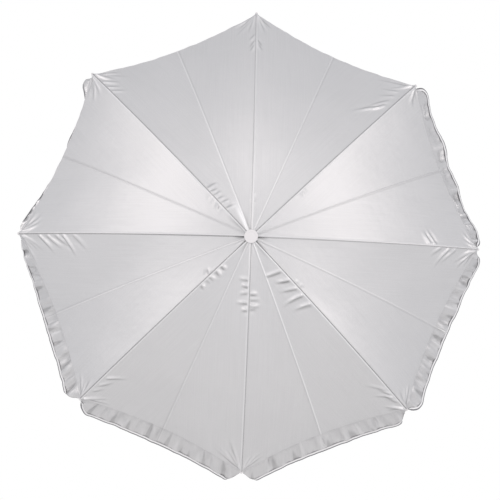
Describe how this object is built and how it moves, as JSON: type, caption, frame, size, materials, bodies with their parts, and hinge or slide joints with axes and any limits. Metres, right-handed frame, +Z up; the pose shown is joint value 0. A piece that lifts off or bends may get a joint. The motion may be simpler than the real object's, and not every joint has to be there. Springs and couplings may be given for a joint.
{
  "type": "umbrella reflector",
  "caption": "Folding umbrella reflector: silver fabric dome on hinged ribs and stretchers, hanging hem flaps with a bound edge, sliding runner and a thin round shaft for a stand's holder.",
  "frame": {"origin": "middle of the clean length of shaft that a stand's umbrella holder clamps, on the shaft's axis", "axes": "+Y along the shaft from the crown to its free end, so the crown faces -Y and the bowl opens towards +Y; +Z up, through rib 1; +X across, with the ribs numbered from the top one towards +X"},
  "size_m": [0.9766, 0.6432, 0.9859],
  "materials": {
    "shaft": "satin drawn tube",
    "black_moulding": "fine moulded texture",
    "grip": "matte, ribbed",
    "steel": "bright wire and pin stock",
    "rib_paint": "satin black",
    "white_moulding": "smooth, slightly yellowed white",
    "washer": "natural nylon",
    "canopy": "satin silver coating",
    "valance": "satin silver coating with a white bound edge"
  },
  "bodies": {
    "shaft": {"shaft_tube": "shaft", "shaft_end_plug": "black_moulding", "top_notch": "black_moulding", "notch_wire": "steel", "shaft_cross_pins": "steel", "crown_cap": "white_moulding", "crown_washer": "washer", "lower_stop_ring": "steel"},
    "catch": {"catch_lever": "steel"},
    "runner": {"runner": "black_moulding", "runner_wire": "steel", "runner_grip": "grip"},
    "rib_1": {"rib_1": "rib_paint", "rib_tip_1": "white_moulding", "rib_clip_1": "steel", "canopy_gores_1": "canopy", "valance_1": "valance"},
    "stretcher_1": {"stretcher_1": "rib_paint"},
    "rib_2": {"rib_2": "rib_paint", "rib_tip_2": "white_moulding", "rib_clip_2": "steel", "canopy_gores_2": "canopy", "valance_2": "valance"},
    "stretcher_2": {"stretcher_2": "rib_paint"},
    "rib_3": {"rib_3": "rib_paint", "rib_tip_3": "white_moulding", "rib_clip_3": "steel", "canopy_gores_3": "canopy", "valance_3": "valance"},
    "stretcher_3": {"stretcher_3": "rib_paint"},
    "rib_4": {"rib_4": "rib_paint", "rib_tip_4": "white_moulding", "rib_clip_4": "steel", "canopy_gores_4": "canopy", "valance_4": "valance"},
    "stretcher_4": {"stretcher_4": "rib_paint"},
    "rib_5": {"rib_5": "rib_paint", "rib_tip_5": "white_moulding", "rib_clip_5": "steel", "canopy_gores_5": "canopy", "valance_5": "valance"},
    "stretcher_5": {"stretcher_5": "rib_paint"},
    "rib_6": {"rib_6": "rib_paint", "rib_tip_6": "white_moulding", "rib_clip_6": "steel", "canopy_gores_6": "canopy", "valance_6": "valance"},
    "stretcher_6": {"stretcher_6": "rib_paint"},
    "rib_7": {"rib_7": "rib_paint", "rib_tip_7": "white_moulding", "rib_clip_7": "steel", "canopy_gores_7": "canopy", "valance_7": "valance"},
    "stretcher_7": {"stretcher_7": "rib_paint"},
    "rib_8": {"rib_8": "rib_paint", "rib_tip_8": "white_moulding", "rib_clip_8": "steel", "canopy_gores_8": "canopy", "valance_8": "valance"},
    "stretcher_8": {"stretcher_8": "rib_paint"}
  },
  "joints": [
    {"name": "fold", "type": "hinge", "parent": "shaft", "child": "rib_1", "pos_m": [0, -0.5357, 0.01], "axis": [-1, 0, 0], "range_deg": [0, 60], "deforming": ["canopy_gores_1", "valance_1"]},
    {"name": "rib_2_hinge", "type": "hinge", "parent": "shaft", "child": "rib_2", "pos_m": [0.00707, -0.5357, 0.00707], "axis": [-0.7071, 0, 0.7071], "range_deg": [0, 60], "deforming": ["canopy_gores_2", "valance_2"]},
    {"name": "rib_3_hinge", "type": "hinge", "parent": "shaft", "child": "rib_3", "pos_m": [0.01, -0.5357, 0], "axis": [0, 0, 1], "range_deg": [0, 60], "deforming": ["canopy_gores_3", "valance_3"]},
    {"name": "rib_4_hinge", "type": "hinge", "parent": "shaft", "child": "rib_4", "pos_m": [0.00707, -0.5357, -0.00707], "axis": [0.7071, 0, 0.7071], "range_deg": [0, 60], "deforming": ["canopy_gores_4", "valance_4"]},
    {"name": "rib_5_hinge", "type": "hinge", "parent": "shaft", "child": "rib_5", "pos_m": [0, -0.5357, -0.01], "axis": [1, 0, 0], "range_deg": [0, 60], "deforming": ["canopy_gores_5", "valance_5"]},
    {"name": "rib_6_hinge", "type": "hinge", "parent": "shaft", "child": "rib_6", "pos_m": [-0.00707, -0.5357, -0.00707], "axis": [0.7071, 0, -0.7071], "range_deg": [0, 60], "deforming": ["canopy_gores_6", "valance_6"]},
    {"name": "rib_7_hinge", "type": "hinge", "parent": "shaft", "child": "rib_7", "pos_m": [-0.01, -0.5357, 0], "axis": [0, 0, -1], "range_deg": [0, 60], "deforming": ["canopy_gores_7", "valance_7"]},
    {"name": "rib_8_hinge", "type": "hinge", "parent": "shaft", "child": "rib_8", "pos_m": [-0.00707, -0.5357, 0.00707], "axis": [-0.7071, 0, -0.7071], "range_deg": [0, 60], "deforming": ["canopy_gores_8", "valance_8"]},
    {"name": "stretcher_1_hinge", "type": "hinge", "parent": "rib_1", "child": "stretcher_1", "pos_m": [0, -0.49818, 0.2217], "axis": [1, 0, 0], "range_deg": [0, 120]},
    {"name": "stretcher_2_hinge", "type": "hinge", "parent": "rib_2", "child": "stretcher_2", "pos_m": [0.15677, -0.49818, 0.15677], "axis": [0.7071, 0, -0.7071], "range_deg": [0, 120]},
    {"name": "stretcher_3_hinge", "type": "hinge", "parent": "rib_3", "child": "stretcher_3", "pos_m": [0.2217, -0.49818, 0], "axis": [0, 0, -1], "range_deg": [0, 120]},
    {"name": "stretcher_4_hinge", "type": "hinge", "parent": "rib_4", "child": "stretcher_4", "pos_m": [0.15677, -0.49818, -0.15677], "axis": [-0.7071, 0, -0.7071], "range_deg": [0, 120]},
    {"name": "stretcher_5_hinge", "type": "hinge", "parent": "rib_5", "child": "stretcher_5", "pos_m": [0, -0.49818, -0.2217], "axis": [-1, 0, 0], "range_deg": [0, 120]},
    {"name": "stretcher_6_hinge", "type": "hinge", "parent": "rib_6", "child": "stretcher_6", "pos_m": [-0.15677, -0.49818, -0.15677], "axis": [-0.7071, 0, 0.7071], "range_deg": [0, 120]},
    {"name": "stretcher_7_hinge", "type": "hinge", "parent": "rib_7", "child": "stretcher_7", "pos_m": [-0.2217, -0.49818, 0], "axis": [0, 0, 1], "range_deg": [0, 120]},
    {"name": "stretcher_8_hinge", "type": "hinge", "parent": "rib_8", "child": "stretcher_8", "pos_m": [-0.15677, -0.49818, 0.15677], "axis": [0.7071, 0, 0.7071], "range_deg": [0, 120]},
    {"name": "runner_hinge", "type": "hinge", "parent": "stretcher_1", "child": "runner", "pos_m": [0, -0.46065, 0.01], "axis": [-1, 0, 0], "range_deg": [0, 60]},
    {"name": "catch_press", "type": "hinge", "parent": "shaft", "child": "catch", "pos_m": [0, -0.39325, 0.0015], "axis": [-1, 0, 0], "range_deg": [0, 8], "stiffness_Nm_per_rad": 0.1, "springref_deg": 17.19}
  ],
  "couplings": [
    {"joint": "rib_2_hinge", "follows": "fold", "ratio": 1},
    {"joint": "rib_3_hinge", "follows": "fold", "ratio": 1},
    {"joint": "rib_4_hinge", "follows": "fold", "ratio": 1},
    {"joint": "rib_5_hinge", "follows": "fold", "ratio": 1},
    {"joint": "rib_6_hinge", "follows": "fold", "ratio": 1},
    {"joint": "rib_7_hinge", "follows": "fold", "ratio": 1},
    {"joint": "rib_8_hinge", "follows": "fold", "ratio": 1},
    {"joint": "stretcher_1_hinge", "follows": "fold", "ratio": 2},
    {"joint": "stretcher_2_hinge", "follows": "fold", "ratio": 2},
    {"joint": "stretcher_3_hinge", "follows": "fold", "ratio": 2},
    {"joint": "stretcher_4_hinge", "follows": "fold", "ratio": 2},
    {"joint": "stretcher_5_hinge", "follows": "fold", "ratio": 2},
    {"joint": "stretcher_6_hinge", "follows": "fold", "ratio": 2},
    {"joint": "stretcher_7_hinge", "follows": "fold", "ratio": 2},
    {"joint": "stretcher_8_hinge", "follows": "fold", "ratio": 2},
    {"joint": "runner_hinge", "follows": "fold", "ratio": 1}
  ]
}
